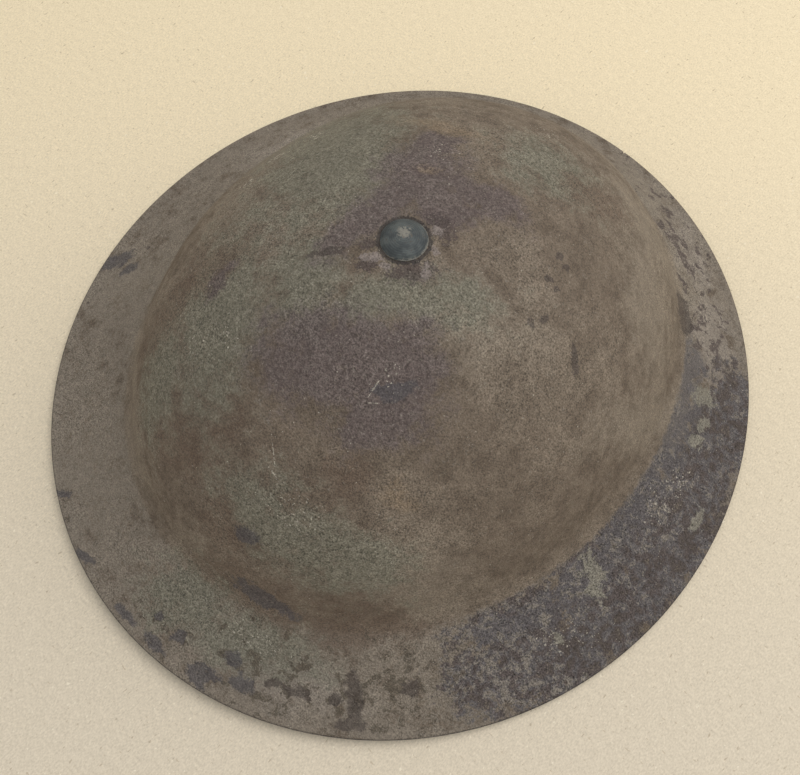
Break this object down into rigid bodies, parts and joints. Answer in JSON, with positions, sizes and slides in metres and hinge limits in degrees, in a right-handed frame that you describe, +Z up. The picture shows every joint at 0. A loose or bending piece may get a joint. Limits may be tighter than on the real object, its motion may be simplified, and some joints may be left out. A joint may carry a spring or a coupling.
{
  "type": "steel helmet",
  "caption": "Pressed steel helmet with a round bowl and wide brim, folded rim edging, rubber-sprung liner, netting, swinging bails and a buckled chinstrap.",
  "frame": {"origin": "middle of the rim's oval, on the table that the helmet stands on", "axes": "+Z up through the crown, front is -Y, the wearer's left is +X"},
  "size_m": [0.293, 0.31, 0.1153],
  "materials": {
    "painted_steel": "matt, rough, worn paint with rust showing through",
    "edging_steel": "dull, worn",
    "blued_rivet": "dull, blue-grey, worn pale in the middle",
    "wire_steel": "dull, lightly rusted",
    "plated_steel": "dull",
    "felt": "pressed felt",
    "webbing": "woven cotton",
    "twine": "knotted cotton twine",
    "oilcloth": "black oilcloth, creased, half gloss",
    "rubber": "aged, matt",
    "strap_leather": "brown, worn"
  },
  "bodies": {
    "root": {"shell": "painted_steel", "rim_edging": "edging_steel", "crown_rivet": "blued_rivet", "crown_washer": "plated_steel", "crown_felt": "felt", "cradle_strap_long": "webbing", "cradle_strap_cross": "webbing", "crown_ring": "rubber", "liner_outer_band": "plated_steel", "liner_inner_band": "felt", "sweatband": "oilcloth", "net_cap": "twine", "rubber_tube_01": "rubber", "rubber_tube_02": "rubber", "rubber_tube_03": "rubber", "rubber_tube_04": "rubber", "rubber_tube_05": "rubber", "rubber_tube_06": "rubber", "rubber_tube_07": "rubber", "rubber_tube_08": "rubber", "rubber_tube_09": "rubber", "rubber_tube_10": "rubber", "rubber_tube_11": "rubber", "rubber_tube_12": "rubber", "outer_band_rivets": "plated_steel", "inner_band_rivets": "plated_steel", "cradle_rivets": "plated_steel", "lug_left": "painted_steel", "lug_right": "painted_steel", "lug_rivet_left": "blued_rivet", "lug_rivet_right": "blued_rivet"},
    "bail_left": {"bail_left": "wire_steel"},
    "bail_right": {"bail_right": "wire_steel"},
    "strap_ends": {"strap_end_left": "strap_leather", "strap_end_right": "strap_leather", "strap_rivet_right": "plated_steel"},
    "chinstrap": {"chinstrap": "strap_leather", "strap_tail": "strap_leather"},
    "chin_buckle": {"chin_buckle": "wire_steel"},
    "strap_keeper": {"strap_keeper": "strap_leather"}
  },
  "joints": [
    {"name": "strap_drop", "type": "slide", "parent": "root", "child": "strap_ends", "axis": [0, 0, -1], "range_m": [0, 0.008]},
    {"name": "bail_left_swing", "type": "hinge", "parent": "root", "child": "bail_left", "pos_m": [0.10772, 0, 0.01856], "axis": [0, -1, 0], "range_deg": [0, 42]},
    {"name": "bail_right_swing", "type": "hinge", "parent": "root", "child": "bail_right", "pos_m": [-0.10772, 0, 0.01856], "axis": [0, 1, 0], "range_deg": [0, 42]},
    {"name": "strap_swing", "type": "hinge", "parent": "strap_ends", "child": "chinstrap", "pos_m": [0, 0, 0.01856], "axis": [-1, 0, 0], "range_deg": [-3, 165]},
    {"name": "buckle_slide", "type": "slide", "parent": "chinstrap", "child": "chin_buckle", "axis": [0, 0.9964, -0.0844], "range_m": [-0.003, 0.01]},
    {"name": "keeper_slide", "type": "slide", "parent": "chinstrap", "child": "strap_keeper", "axis": [0, 0.9964, -0.0844], "range_m": [-0.008, 0.008]}
  ],
  "couplings": [
    {"joint": "bail_left_swing", "follows": "strap_drop", "rad_per_m": 91.216},
    {"joint": "bail_right_swing", "follows": "strap_drop", "rad_per_m": 91.216}
  ]
}
